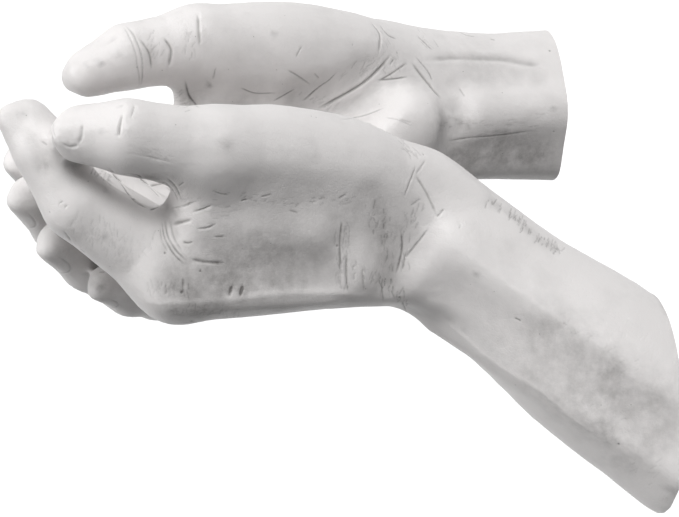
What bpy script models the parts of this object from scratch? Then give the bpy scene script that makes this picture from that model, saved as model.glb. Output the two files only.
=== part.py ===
"""Wall sculpture: two cupped hands reaching out of a wall, cast in one piece.

The wall is the plane Y = 0 and the hands reach out along -Y. +X is to the right when you face the wall,
+Z is up. The left hand is at +X. Sizes are in millimetres, and the mesh is made in metres.
"""

import itertools

import bmesh
import bpy
import numpy as np

MM = 0.001

# Main sizes: where the wrists are, from the middle of the left arm's wall face
REACH = 96.0  # wall to the left wrist
RISE = 65.0  # wall face up to the left wrist
LEAN = 26.0  # how far the left arm leans towards the right one
APART = 98.0  # left wrist to right wrist, sideways
RIGHT_NEARER = 24.0  # how much nearer the wall the right wrist is
RIGHT_HIGHER = 37.0  # how much higher than the left wrist it is
RIGHT_LEAN = 13.0  # how far the right arm leans towards the left one
RIGHT_RISE = 3.0  # how far it rises from the wall to its wrist

# Casting
CAST_NAME = "cupped_hands"
COLLECTION_NAME = "wall_sculpture"
TRIANGLES = 11700
GRAIN = 1.5  # step of the grid that the forms are blended on
BEHIND_WALL = 9.0  # how far the forearms run on before they are cut off
WALL_TOLERANCE = 0.3
SKIN_SMOOTHING = 4
CUT_ANGLE = 50  # degrees; the edge of the flat wall faces stays sharp
CAST_COLOUR = (0.80, 0.79, 0.78, 1)
CAST_ROUGHNESS = 0.45

# Fillets where one form runs into another
PALM_FILLET = 9.0
FINGER_FILLET = 6.0
KNUCKLE_FILLET = 2.5
RIDGE_FILLET = 5.0
HOLLOW_FILLET = 5.0
NAIL_FILLET = 0.6
LIMB_FILLET = 0.1  # between the pieces of one smooth limb
STEPS = 4  # pieces between two stations of a smooth limb

# Flesh that fills between the bones
PALM_THICKNESS = 21.0
FINGER_WEB = 17.0
FINGER_WEB_SHARE = 0.3  # how far a finger web runs along the first bones
THUMB_WEB = 19.0
THUMB_BALL_WEB = 24.0
BACK_SHARE = 0.97  # a finger is flatter on its back than on its palm side

# Nails, in radii of the fingertip, and how far they stand out
NAIL_BACK, NAIL_FRONT = 0.75, 0.55
NAIL_WIDTH, NAIL_DEPTH = 0.68, 0.45
NAIL_TAPER = 0.9
NAIL_LIFT = 0.5

# The hand tables. A place on the hand is measured from the wrist; a place on the arm is a share of the way
# from the wall to the wrist, then sideways and up from the line between them.
# A station of an arm or a thumb's ball: place, half width, depth on the back, depth on the palm side.
# A finger's joints: knuckle, middle joint, end joint, centre of the tip; its sizes are radii there.
# Ridges are bones and tendons that stand out, hollows are pressed in between them: radius, then places.
LEFT = {
    "wrist": (-LEAN, -REACH, RISE),
    "wall": (0.0, 0.0, 0.0),
    "palm_side": (-0.15, 0.20, 0.97),
    "arm": [
        ((-0.15, 0, -1.5), 32, 32, 31),
        ((0.0, 0, 0), 32, 31.5, 30.5),
        ((0.23, 0, 2), 32, 31, 30),
        ((0.49, -2, 4), 31, 26.5, 26.5),
        ((0.74, -1, 5), 30, 26, 27),
        ((0.89, -1, 4.5), 29, 27.5, 28.5),
        ((1.0, 0, 0), 28, 28, 28),
    ],
    "carpus": [(18, -3, -12), (6, 2, -11), (-6, 6, -10), (-17, 11, -9)],
    "carpus_radius": [15.5, 16, 16, 15],
    "fingers": {
        "index": [(23, -75, -16), (27, -110, 9), (24, -121, 28), (21, -126, 36)],
        "middle": [(1, -69, -15), (-2, -103, 8), (-11, -112, 20), (-19, -108, 26)],
        "ring": [(-19, -65, -14), (-24, -96, 10), (-34, -105, 21), (-41, -101, 29)],
        "little": [(-36, -60, -11), (-44, -84, 8), (-52, -92, 18), (-58, -88, 24)],
    },
    "finger_radii": {
        "index": [15.3, 11.8, 10.6, 9.3],
        "middle": [13.5, 11.5, 9.8, 8.6],
        "ring": [13.0, 11.2, 9.6, 8.2],
        "little": [12.0, 10.2, 8.8, 7.4],
    },
    "thumb_ball": [
        ((12, 10, 8), 16, 15, 15),
        ((22, -14, 16), 20.5, 17, 18),
        ((30, -37, 22), 19.8, 16, 18),
        ((34, -50, 25), 18, 15, 16),
        ((38, -64, 27), 15, 14, 14),
    ],
    "thumb": [(38, -64, 27), (44, -95, 33), (41, -110, 34)],
    "thumb_radii": [14.5, 12.6, 10.0],
    "thumb_pad_side": (-1.0, 0.0, -0.1),
    "heel": [(-18, 2, 1), (-34, -39, -3)],
    "heel_radii": [16, 13],
    "hand_ridges": [
        (13, [(29, -67, 4.5), (28, -53, 3), (26.5, -32, 0.5)]),  # muscle between thumb and index finger
        (5, [(33.5, -81, -21.5), (32, -56, -22), (29, -24, -21)]),  # edge of the back of the hand
        (9, [(30, -83.5, -15), (30.5, -80, -18.5)]),  # index knuckle
    ],
    "hand_hollows": [
        (12, [(59, -67, 10.5), (55.5, -39, 10), (51, -16, 8)]),  # under the thumb's bone
        (12, [(51.5, -76, -18), (49, -48, -17.5), (46.5, -22, -18.5)]),  # over the edge of the back
        (4, [(35.5, -82, 5), (41, -81, -3), (42.5, -76, -9.5)]),  # fold of the thumb's web
        (9, [(44.5, -7, 8.5), (41.5, -4, -2), (38, 1, -18)]),  # hollow of the wrist
        (5, [(38, 10, 7), (34, 1, -21)]),  # wrist fold
    ],
    "arm_ridges": [
        (6, [(0.90, 18, 25.5), (0.81, 14.5, 27), (0.70, 12, 26.5)]),  # tendon on the top of the wrist
        (10, [(0.90, 19, -10.5), (0.83, 16.5, -9.5)]),  # end of the forearm's bone
        (9, [(0.78, 21.5, 6.5), (0.51, 21.5, 5), (0.14, 24, 4.5), (-0.15, 25.5, 4)]),
        (8, [(0.77, 7, -17.5), (0.49, 17.5, -17.5), (0.11, 23.5, -16.5), (-0.15, 25, -16)]),
    ],
    "arm_hollows": [(18, [(0.83, 45, -18), (0.60, 47, -17), (0.23, 50.5, -16), (-0.15, 53, -15)])],
}

RIGHT = {
    "wrist": (-LEAN - APART, -REACH + RIGHT_NEARER, RISE + RIGHT_HIGHER),
    "wall": (-LEAN - APART - RIGHT_LEAN, 0.0, RISE + RIGHT_HIGHER - RIGHT_RISE),
    "palm_side": (0.90, 0.0, 0.40),
    "arm": [
        ((-0.20, 0.5, 0.5), 31, 25, 24),
        ((0.0, 0, 0), 31, 25, 24),
        ((0.29, -1, -1), 30, 23, 23),
        ((0.58, 0.5, -1), 30.5, 22, 21),
        ((0.79, -0.5, -0.5), 31.5, 22, 20),
        ((1.0, 0, 0), 33, 22, 19),
    ],
    "carpus": [(-11, 2, 11), (-6, 4, 1), (0, 6, -10), (6, 8, -19)],
    "carpus_radius": [15, 15, 15, 15],
    "fingers": {
        "index": [(11, -73, -18), (30, -113, -36), (48, -133, -29), (64, -145, -17)],
        "middle": [(20, -74, -32), (42, -115, -52), (62, -133, -41), (78, -145, -29)],
        "ring": [(34, -74, -45), (62, -108, -62), (80, -125, -53), (93, -137, -44)],
        "little": [(52, -73, -56), (74, -99, -64), (88, -111, -62), (99, -121, -58)],
    },
    "finger_radii": {
        "index": [13.0, 11.6, 9.8, 8.0],
        "middle": [13.0, 12.0, 10.2, 8.2],
        "ring": [12.5, 11.7, 9.9, 8.0],
        "little": [12.2, 10.8, 9.0, 6.8],
    },
    "thumb_ball": [
        ((0, 10, 13), 13, 12, 12),
        ((8, -15, 17), 17.5, 15, 16),
        ((17, -40, 20), 19, 15, 17),
        ((23, -60, 22), 17, 14, 15),
        ((26, -77, 23), 14, 13, 13),
    ],
    "thumb": [(26, -77, 23), (32, -104, 19), (36, -119, 13)],
    "thumb_radii": [14.0, 12.2, 9.2],
    "thumb_pad_side": (1.0, 0.0, 0.0),
    "heel": [(16, 4, -11), (30, -27, -30), (44, -64, -48)],
    "heel_radii": [15, 16, 13],
    "hand_ridges": [(12, [(20.5, 0.5, -7.5), (19, 8, -8)])],  # end of the heel of the hand
    "hand_hollows": [
        (12, [(35, -36, -2), (33.5, -19, 1), (32.5, -5, 11.5)]),  # middle of the palm
        (8, [(47, -79, 31.5), (47.5, -77.5, 16), (38, -76, 2)]),  # fold at the thumb's root
    ],
    "arm_ridges": [(10, [(0.71, 15, -8), (0.38, 15, -4), (0.05, 16.5, -1.5), (-0.2, 17, 0)])],  # arm's edge
    "arm_hollows": [
        (4, [(0.58, 21.5, 12), (0.14, 25, 13.5)]),  # beside the tendon
        (20, [(0.53, 38, -27.5), (0.28, 38, -26.5), (0.03, 39.5, -25.5), (-0.2, 40, -25)]),  # under the edge
        (6, [(0.64, 25, 8.5), (0.63, 28.2, -3), (0.65, 29, -14)]),  # behind the heel of the hand
    ],
}

FINGERS = ("index", "middle", "ring", "little")
GAPS = range(len(FINGERS) - 1)
FAR = 1000.0
NOT_ZERO = 1e-6


def unit(v):
    return v / np.linalg.norm(v)


def on_hand(hand, offsets):
    return [np.array(hand["wrist"]) + offset for offset in offsets]


def on_arm(hand, places):
    wrist, wall = np.array(hand["wrist"]), np.array(hand["wall"])
    return [wall + (wrist - wall) * share + (sideways, 0, up) for share, sideways, up in places]


def across(v, direction):
    """The part of v that is square to a direction, as a unit vector."""
    return unit(v - np.dot(v, direction) * direction)


def flowing(centres, sizes):
    """Stations on a smooth curve through the given ones."""
    rows = np.hstack([centres, sizes])
    rows = np.vstack([2 * rows[0] - rows[1], rows, 2 * rows[-1] - rows[-2]])
    made = []
    for a, b, c, d in zip(rows, rows[1:], rows[2:], rows[3:]):
        for t in np.arange(STEPS) / STEPS:
            bend = 2 * a - 5 * b + 4 * c - d + t * (3 * (b - c) + d - a)
            made.append(b + 0.5 * t * (c - a + t * bend))
    made.append(rows[-2])
    return [row[:3] for row in made], [row[3:] for row in made]


def blend(a, b, fillet):
    """The union of two distance fields, with a fillet between them."""
    mix = np.clip(0.5 + 0.5 * (b - a) / fillet, 0, 1)
    return b + (a - b) * mix - fillet * mix * (1 - mix)


class Field:
    """Distances to a shape on a grid of points, negative inside the shape."""

    def __init__(self, low, values, step):
        self.low, self.values, self.step = low, values, step

    def copy(self):
        return Field(self.low, self.values.copy(), self.step)

    def empty(self):
        return Field(self.low, np.full_like(self.values, FAR), self.step)

    def add(self, shape, corners, reach, fillet):
        """Blends in a shape, working only on the grid points near the corners that it spans."""
        margin = reach + fillet + 2 * self.step
        low = (np.min(corners, axis=0) - margin - self.low) / self.step
        high = (np.max(corners, axis=0) + margin - self.low) / self.step
        low = np.maximum(low.astype(int), 0)
        high = np.minimum(high.astype(int) + 1, self.values.shape)
        axes = [self.low[i] + self.step * np.arange(low[i], high[i]) for i in range(3)]
        grid = np.stack(np.meshgrid(*axes, indexing="ij"), axis=-1)
        box = tuple(slice(low[i], high[i]) for i in range(3))
        self.values[box] = blend(self.values[box], shape(grid), fillet)

    def limb(self, ends, sizes, palm, fillet):
        """A tapering limb. A size is (half width, depth on the back, depth on the palm side)."""
        a, b = ends
        first, last = np.array(sizes, float)
        length = np.linalg.norm(b - a)
        along = (b - a) / length
        palm = across(palm, along)
        side = np.cross(palm, along)

        def distance(grid):
            offset = grid - a
            t = offset @ along
            near = np.clip(t / length, 0, 1)[..., None]
            size = first + (last - first) * near
            x, y, z = offset @ side, t - near[..., 0] * length, offset @ palm
            width, depth = size[..., 0], np.where(z > 0, size[..., 2], size[..., 1])
            end = size.min(axis=-1)
            from_axis = np.sqrt(x**2 + y**2 + z**2) + NOT_ZERO
            in_radii = np.sqrt((x / width) ** 2 + (y / end) ** 2 + (z / depth) ** 2) + NOT_ZERO
            return from_axis - from_axis / in_radii

        self.add(distance, ends, max(first.max(), last.max()), fillet)

    def chain(self, joints, sizes, palms, fillet, own_fillet=LIMB_FILLET):
        """Limbs end to end, blended with each other before they are blended with the rest."""
        part = self.empty()
        for i in range(len(joints) - 1):
            part.limb(joints[i : i + 2], sizes[i : i + 2], palms[i], own_fillet)
        self.values = blend(self.values, part.values, fillet)

    def raise_ridge(self, points, radius):
        self.chain(points, *round_limb(points, radius), RIDGE_FILLET)

    def press_hollow(self, points, radius):
        tool = self.empty()
        tool.chain(points, *round_limb(points, radius), LIMB_FILLET)
        self.values = -blend(-self.values, tool.values, HOLLOW_FILLET)

    def nail(self, joint, tip, radius, palm):
        """A nail plate that stands out a little from the back of a fingertip."""
        along = unit(tip - joint)
        palm = across(palm, along)
        width, depth = NAIL_WIDTH * radius, NAIL_DEPTH * radius
        middle = tip - palm * (BACK_SHARE * radius + NAIL_LIFT - depth)
        ends = [middle - along * NAIL_BACK * radius, middle + along * NAIL_FRONT * radius]
        self.limb(ends, [(width, depth, depth), (NAIL_TAPER * width, depth, depth)], palm, NAIL_FILLET)

    def web(self, corners, thickness):
        """A rounded triangle of flesh."""
        a, b, c = corners

        def distance(grid):
            edges = [b - a, c - b, a - c]
            normal = unit(np.cross(edges[0], edges[2]))
            offsets = [grid - a, grid - b, grid - c]
            outside = np.zeros(grid.shape[:-1], bool)
            nearest = np.full(grid.shape[:-1], FAR)
            for edge, offset in zip(edges, offsets):
                outside |= offset @ np.cross(edge, normal) < 0
                t = np.clip(offset @ edge / (edge @ edge), 0, 1)[..., None]
                nearest = np.minimum(nearest, np.linalg.norm(offset - t * edge, axis=-1))
            return np.where(outside, nearest, np.abs(offsets[0] @ normal)) - thickness / 2

        self.add(distance, corners, thickness / 2, PALM_FILLET)

    def mesh(self, name):
        """The surface at distance 0, as a net of four-sided faces: one point in each cell that it crosses."""
        values = self.values
        counts = np.array(values.shape) - 1
        ways = np.eye(3, dtype=int)

        def corner(offset):
            return values[tuple(slice(o, o + n) for o, n in zip(offset, counts))]

        offsets = list(itertools.product((0, 1), repeat=3))
        inside = sum((corner(offset) < 0).astype(int) for offset in offsets)
        crossed = (inside > 0) & (inside < len(offsets))
        cells = np.argwhere(crossed)
        number = np.full(crossed.shape, -1)
        number[crossed] = np.arange(len(cells))
        total, found = np.zeros((len(cells), 3)), np.zeros((len(cells), 1))
        faces = []
        for axis in range(3):
            for start in (offset for offset in offsets if offset[axis] == 0):
                first = corner(start)[crossed].astype(float)
                second = corner(start + ways[axis])[crossed].astype(float)
                cuts = (first < 0) != (second < 0)
                t = np.where(cuts, first / np.where(cuts, first - second, 1), 0)
                total += np.where(cuts[:, None], start + t[:, None] * ways[axis], 0)
                found += cuts[:, None]
            after, last = (axis + 1) % 3, (axis + 2) % 3
            sign = values < 0
            edges = np.argwhere(sign != np.roll(sign, -1, axis=axis))
            edges = edges[(edges < counts).all(axis=1) & (edges[:, after] > 0) & (edges[:, last] > 0)]
            shifts = (0, ways[after], ways[after] + ways[last], ways[last])
            quads = np.stack([number[tuple((edges - shift).T)] for shift in shifts], axis=1)
            outward = sign[tuple(edges.T)]
            faces.append(np.where(outward[:, None], quads, quads[:, ::-1]))
        points = self.low + (cells + total / found) * self.step
        made = bpy.data.meshes.new(name)
        made.from_pydata((points * MM).tolist(), [], np.concatenate(faces).tolist())
        return made


def round_limb(points, radius):
    """Sizes and palm sides for a limb that is round, so that its palm side doesn't matter."""
    sideways = np.cross(points[-1] - points[0], (0, 0, 1))
    return [[radius] * 3] * len(points), [sideways] * len(points)


def finger_palms(joints):
    """For each bone of a finger, the way that its palm side faces: the finger curls towards it."""
    bones = [unit(b - a) for a, b in zip(joints, joints[1:])]
    hinge = unit(np.cross(bones[0], bones[1]) + np.cross(bones[1], bones[2]))
    return [np.cross(hinge, bone) for bone in bones]


def finger_sizes(radii):
    return [(r, BACK_SHARE * r, r) for r in radii]


def empty_field(hands):
    """A field just large enough for the hands, which ends behind the wall."""
    centres, sizes = [], []
    for hand in hands:
        centres += on_arm(hand, [row[0] for row in hand["arm"]])
        sizes += [max(row[1:]) for row in hand["arm"]]
        for name in FINGERS:
            centres += on_hand(hand, hand["fingers"][name])
            sizes += hand["finger_radii"][name]
        centres += on_hand(hand, [row[0] for row in hand["thumb_ball"]] + hand["thumb"])
        sizes += [max(row[1:]) for row in hand["thumb_ball"]] + hand["thumb_radii"]
    margin = np.array(sizes)[:, None] + PALM_FILLET
    low, high = np.min(centres - margin, axis=0), np.max(centres + margin, axis=0)
    high[1] = BEHIND_WALL
    counts = np.ceil((high - low) / GRAIN).astype(int) + 1
    return Field(low, np.full(counts, FAR, np.float32), GRAIN)


def add_palm(field, hand, palm, knuckles):
    """The arm, the bones of the palm with the flesh between them, and the heel of the hand."""
    carpus, heel = on_hand(hand, hand["carpus"]), on_hand(hand, hand["heel"])
    centres = on_arm(hand, [row[0] for row in hand["arm"]])
    centres, sizes = flowing(centres, [row[1:] for row in hand["arm"]])
    field.chain(centres, sizes, [palm] * len(centres), PALM_FILLET)
    for name, start, radius, end in zip(FINGERS, carpus, hand["carpus_radius"], knuckles):
        field.limb([start, end], [[radius] * 3, [hand["finger_radii"][name][0]] * 3], palm, PALM_FILLET)
    for k in GAPS:
        field.web([carpus[k], knuckles[k], knuckles[k + 1]], PALM_THICKNESS)
        field.web([carpus[k], carpus[k + 1], knuckles[k + 1]], PALM_THICKNESS)
    field.chain(heel, [[r] * 3 for r in hand["heel_radii"]], [palm] * len(heel), PALM_FILLET)


def add_webs(field, hand, pad, fingers):
    """The webs between the fingers, and the thumb's ball with its webs to the palm."""
    for k in GAPS:
        first, second = fingers[FINGERS[k]], fingers[FINGERS[k + 1]]
        along = (first[1] - first[0]) + (second[1] - second[0])
        fold = (first[0] + second[0]) / 2 + FINGER_WEB_SHARE * along / 2
        field.web([first[0], second[0], fold], FINGER_WEB)
    carpus, knuckle = on_hand(hand, hand["carpus"])[0], fingers["index"][0]
    centres = on_hand(hand, [row[0] for row in hand["thumb_ball"]])
    centres, sizes = flowing(centres, [row[1:] for row in hand["thumb_ball"]])
    field.chain(centres, sizes, [pad] * len(centres), PALM_FILLET)
    field.web([centres[STEPS], centres[-1], knuckle], THUMB_WEB)
    field.web([centres[STEPS], carpus, knuckle], THUMB_BALL_WEB)


def hand_field(hand, blank):
    palm, pad = unit(np.array(hand["palm_side"])), unit(np.array(hand["thumb_pad_side"]))
    fingers = {name: on_hand(hand, hand["fingers"][name]) for name in FINGERS}
    body = blank.copy()
    add_palm(body, hand, palm, [fingers[name][0] for name in FINGERS])
    add_webs(body, hand, pad, fingers)

    # bones, tendons and hollows
    for place, part in ((on_hand, "hand"), (on_arm, "arm")):
        for radius, points in hand[part + "_ridges"]:
            body.raise_ridge(place(hand, points), radius)
        for radius, points in hand[part + "_hollows"]:
            body.press_hollow(place(hand, points), radius)

    # thumb and fingers; side by side they meet in a crease
    whole = body.copy()
    thumb, radii = on_hand(hand, hand["thumb"]), hand["thumb_radii"]
    whole.chain(thumb, finger_sizes(radii), [pad] * len(thumb), FINGER_FILLET, KNUCKLE_FILLET)
    whole.nail(thumb[-2], thumb[-1], radii[-1], pad)
    for name, joints in fingers.items():
        one, radii, palms = body.copy(), hand["finger_radii"][name], finger_palms(joints)
        one.chain(joints, finger_sizes(radii), palms, FINGER_FILLET, KNUCKLE_FILLET)
        one.nail(joints[-2], joints[-1], radii[-1], palms[-1])
        whole.values = np.minimum(whole.values, one.values)
    return whole


def bake(obj):
    """Applies the object's modifiers."""
    graph = bpy.context.evaluated_depsgraph_get()
    made = bpy.data.meshes.new_from_object(obj.evaluated_get(graph))
    obj.modifiers.clear()
    obj.data = made


def keep_outer_skin(mesh):
    """Removes closed pockets between the fingers, which a casting would be solid at."""
    work = bmesh.new()
    work.from_mesh(mesh)
    left, skins = set(work.faces), []
    while left:
        stack = [left.pop()]
        skin = []
        while stack:
            face = stack.pop()
            skin.append(face)
            for edge in face.edges:
                for other in edge.link_faces:
                    if other in left:
                        left.remove(other)
                        stack.append(other)
        skins.append(skin)
    skins.sort(key=len)
    for skin in skins[:-1]:
        bmesh.ops.delete(work, geom=skin, context="FACES")
    work.to_mesh(mesh)
    work.free()


def cut_at_wall(mesh):
    """Cuts both forearms off flat at the wall."""
    work = bmesh.new()
    work.from_mesh(mesh)
    everything = work.verts[:] + work.edges[:] + work.faces[:]
    wall = {"plane_co": (0, 0, 0), "plane_no": (0, 1, 0)}
    cut = bmesh.ops.bisect_plane(work, geom=everything, clear_outer=True, **wall)
    edges = [e for e in cut["geom_cut"] if isinstance(e, bmesh.types.BMEdge)]
    bmesh.ops.holes_fill(work, edges=edges, sides=0)
    bmesh.ops.recalc_face_normals(work, faces=work.faces[:])
    work.to_mesh(mesh)
    work.free()


def flatten_wall_faces(mesh):
    """Puts the points of the wall faces back on the wall, which the decimation moves a little."""
    for vertex in mesh.vertices:
        if abs(vertex.co.y) < WALL_TOLERANCE * MM:
            vertex.co.y = 0


def triangle_count(mesh):
    return sum(len(polygon.vertices) - 2 for polygon in mesh.polygons)


def build_cast(collection):
    blank = empty_field([LEFT, RIGHT])
    field = hand_field(LEFT, blank)
    field.values = np.minimum(field.values, hand_field(RIGHT, blank).values)
    field.values[:, -1, :] = FAR
    cast = bpy.data.objects.new(CAST_NAME, field.mesh("skin"))
    collection.objects.link(cast)
    skin = cast.modifiers.new("skin", "REMESH")
    skin.mode = "VOXEL"
    skin.voxel_size = GRAIN * MM
    soften = cast.modifiers.new("soften", "SMOOTH")
    soften.factor = 0.5
    soften.iterations = SKIN_SMOOTHING
    bake(cast)
    keep_outer_skin(cast.data)
    cut_at_wall(cast.data)
    fewer = cast.modifiers.new("fewer", "DECIMATE")
    fewer.ratio = TRIANGLES / triangle_count(cast.data)
    fewer.use_collapse_triangulate = True
    bake(cast)
    flatten_wall_faces(cast.data)
    return cast


def cast_material():
    material = bpy.data.materials.new("white_cast")
    material.use_nodes = True
    shader = material.node_tree.nodes["Principled BSDF"]
    shader.inputs["Base Color"].default_value = CAST_COLOUR
    shader.inputs["Roughness"].default_value = CAST_ROUGHNESS
    return material


def main():
    for old in list(bpy.data.objects):
        bpy.data.objects.remove(old)
    collection = bpy.data.collections.new(COLLECTION_NAME)
    bpy.context.scene.collection.children.link(collection)
    cast = build_cast(collection)
    cast.data.materials.append(cast_material())
    cast.data.shade_smooth()
    cast.data.set_sharp_from_angle(angle=np.radians(CUT_ANGLE))
    print("triangles", triangle_count(cast.data))


if __name__ == "__main__":
    main()
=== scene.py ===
import math

import bmesh
import bpy
import numpy as np
from mathutils import Matrix, Vector
from mathutils.bvhtree import BVHTree


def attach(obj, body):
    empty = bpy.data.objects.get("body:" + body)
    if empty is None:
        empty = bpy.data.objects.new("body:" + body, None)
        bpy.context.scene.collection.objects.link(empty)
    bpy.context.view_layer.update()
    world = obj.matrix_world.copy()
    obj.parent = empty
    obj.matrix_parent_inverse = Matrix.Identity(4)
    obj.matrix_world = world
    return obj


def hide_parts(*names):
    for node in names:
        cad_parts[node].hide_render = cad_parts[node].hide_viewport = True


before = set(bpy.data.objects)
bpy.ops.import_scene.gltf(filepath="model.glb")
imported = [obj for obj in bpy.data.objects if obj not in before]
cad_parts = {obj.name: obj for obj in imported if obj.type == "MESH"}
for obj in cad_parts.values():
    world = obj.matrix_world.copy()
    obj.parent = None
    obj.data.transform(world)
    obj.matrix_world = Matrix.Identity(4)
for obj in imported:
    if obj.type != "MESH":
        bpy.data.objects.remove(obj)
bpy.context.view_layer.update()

mm = 0.001
scene = bpy.context.scene


# The photograph's view: the camera stands off the left hand's side and looks a little down

photo = {
    "width": 679, "height": 517,   # pixels
    "turn": 12.0, "tilt": 6.0,     # degrees from the wall, and down
    "distance": 1.0,               # metres to the middle of the left wall face
    "zoom": 2800.0,                # pixels a metre there
    "zeroAt": (654, 401),          # that point's pixel
    "filmWidth": 36.0,             # mm
    "farthest": 50,                # metres that the camera sees
}

turn, tilt = math.radians(photo["turn"]), math.radians(photo["tilt"])
focalPixels = photo["zoom"] * photo["distance"]
forward = Vector((-math.cos(turn) * math.cos(tilt), math.sin(turn) * math.cos(tilt), -math.sin(tilt)))
rightward = Vector((math.sin(turn), math.cos(turn), 0))
upward = rightward.cross(forward)


def sightLine(x, y):   # the way from the camera through a pixel of the photograph
    across, above = (x - photo["width"] / 2) / focalPixels, (photo["height"] / 2 - y) / focalPixels
    return forward + rightward * across + upward * above


eye = -photo["distance"] * sightLine(*photo["zeroAt"])


def makeCamera():
    data = bpy.data.cameras.new("camera")
    data.sensor_width = photo["filmWidth"]
    data.lens = focalPixels / photo["width"] * photo["filmWidth"]
    data.clip_end = photo["farthest"]
    camera = bpy.data.objects.new("camera", data)
    scene.collection.objects.link(camera)
    turned = Matrix((rightward, upward, -forward)).transposed().to_4x4()
    camera.matrix_world = Matrix.Translation(eye) @ turned
    scene.camera = camera


makeCamera()


# The skin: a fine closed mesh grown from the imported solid

skin = {
    "grain": 0.42 * mm,        # size of the fine mesh's faces
    "quickGrain": 1.0 * mm,
    "weld": 0.002 * mm,        # corners nearer than this are one
    "onWall": 0.01 * mm,       # how near the wall a corner of the cut faces lies
    "softening": 30,           # rounds of smoothing, which melt the solid's facets
    "softness": 0.5,           # how far each round goes
    "beyondWall": 8 * mm,      # how far the forearms run on before they are cut again
    "mostTriangles": 190000,
    "carvedWash": 0.02,        # the thinning spares places with more wash than this, which have lines
    "carvedThinning": 0.02,
    "rimAngle": 50,            # degrees; the rim of the wall faces stays sharp
    "foldReach": 28,           # faces over which a fold's depth is measured
    "foldDepth": 0.25,         # mm, at which a fold is fully grey
}
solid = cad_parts["cupped_hands"]


def bake(piece):   # turns the piece and its modifiers into a plain mesh
    graph = bpy.context.evaluated_depsgraph_get()
    made = bpy.data.meshes.new_from_object(piece.evaluated_get(graph))
    piece.modifiers.clear()
    old, piece.data = piece.data, made
    bpy.data.meshes.remove(old)


def weldedCopy(node, name):
    work = bmesh.new()
    work.from_mesh(node.data)
    bmesh.ops.remove_doubles(work, verts=work.verts[:], dist=skin["weld"])
    mesh = bpy.data.meshes.new(name)
    work.to_mesh(mesh)
    work.free()
    piece = bpy.data.objects.new(name, mesh)
    scene.collection.objects.link(piece)
    return piece


def growPastWall(piece, length):
    work = bmesh.new()
    work.from_mesh(piece.data)
    work.normal_update()
    onWall = [f for f in work.faces if all(abs(v.co.y) < skin["onWall"] for v in f.verts)]
    grown = bmesh.ops.extrude_face_region(work, geom=onWall)["geom"]
    moved = [v for v in grown if isinstance(v, bmesh.types.BMVert)]
    bmesh.ops.translate(work, vec=(0, length, 0), verts=moved)
    work.to_mesh(piece.data)
    work.free()


hands = weldedCopy(solid, "castHands")
guide = weldedCopy(solid, "guide")
growPastWall(hands, skin["beyondWall"])
finer = hands.modifiers.new("finer", "REMESH")
finer.mode = "VOXEL"
finer.voxel_size = skin["grain"]
melt = hands.modifiers.new("melt", "SMOOTH")
melt.factor = skin["softness"]
melt.iterations = skin["softening"]
bake(hands)
print("skin grown:", len(hands.data.polygons), "faces")

tree = BVHTree.FromObject(guide, bpy.context.evaluated_depsgraph_get())


# Lines on the skin: each is drawn in the photograph's pixels and laid on the hands by the camera's rays

lineLook = {
    "step": 0.4 * mm,
    "longestJump": 3 * mm,   # where a line jumps further, it crosses from one form to another, and is cut
    "endStrength": 0.15,     # a line fades in from this, and out to it
    "endRise": 5,            # over one part in so many of its length
    "rayReach": 1.4,         # how far rays from inside a finger go, in its radii
}


def smoothLine(points, count):   # a curve through the points
    rows = np.array(points, float)
    rows = np.vstack([2 * rows[0] - rows[1], rows, 2 * rows[-1] - rows[-2]])
    made = []
    for a, b, c, d in zip(rows, rows[1:], rows[2:], rows[3:]):
        for t in np.arange(count) / count:
            made.append(b + 0.5 * t * (c - a + t * (2 * a - 5 * b + 4 * c - d + t * (3 * (b - c) + d - a))))
    made.append(rows[-2])
    return np.array(made).tolist()


def laidFromCamera(points):
    longest = max(math.dist(a, b) for a, b in zip(points, points[1:]))
    count = max(2, math.ceil(longest / (lineLook["step"] * photo["zoom"])))
    found = [tree.ray_cast(eye, sightLine(x, y).normalized())[0] for x, y in smoothLine(points, count)]
    return [p for p in found if p is not None]


def unit(v):
    return v / np.linalg.norm(v)


def laidAround(origin, along, back, radius, places):   # places: how far along, and degrees from the back
    side = np.cross(along, back)
    reach = lineLook["rayReach"] * radius
    found = []
    for step, angle in places:
        way = back * math.cos(math.radians(angle)) + side * math.sin(math.radians(angle))
        found.append(tree.ray_cast(Vector(origin + along * step), Vector(way), reach)[0])
    return [p for p in found if p is not None]


def storeOnPoints(mesh, name, values):
    mesh.attributes.new(name, "FLOAT", "POINT").data.foreach_set("value", values)


def linesObject(name, laid):   # laid: (strength, points on the skin) for each line
    points, edges, strengths = [], [], []
    for strength, line in laid:
        start = len(points)
        for k, p in enumerate(line):
            t = k / max(1, len(line) - 1)
            points.append(tuple(p))
            nearEnd = lineLook["endRise"] * min(t, 1 - t) + lineLook["endStrength"]
            strengths.append(strength * min(1, nearEnd))
            if k and (Vector(p) - Vector(line[k - 1])).length < lineLook["longestJump"]:
                edges.append((start + k - 1, start + k))
    mesh = bpy.data.meshes.new(name)
    mesh.from_pydata(points, edges, [])
    storeOnPoints(mesh, "strength", strengths)
    piece = bpy.data.objects.new(name, mesh)
    scene.collection.objects.link(piece)
    return piece


# Node trees: small helpers, for Geometry Nodes and for shaders

def newTree(name, kind, inputs, outputs):
    made = bpy.data.node_groups.new(name, kind)
    for label, socket in inputs:
        made.interface.new_socket(name=label, in_out="INPUT", socket_type="NodeSocket" + socket)
    for label, socket in outputs:
        made.interface.new_socket(name=label, in_out="OUTPUT", socket_type="NodeSocket" + socket)
    return made, made.nodes.new("NodeGroupInput").outputs, made.nodes.new("NodeGroupOutput").inputs


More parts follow.
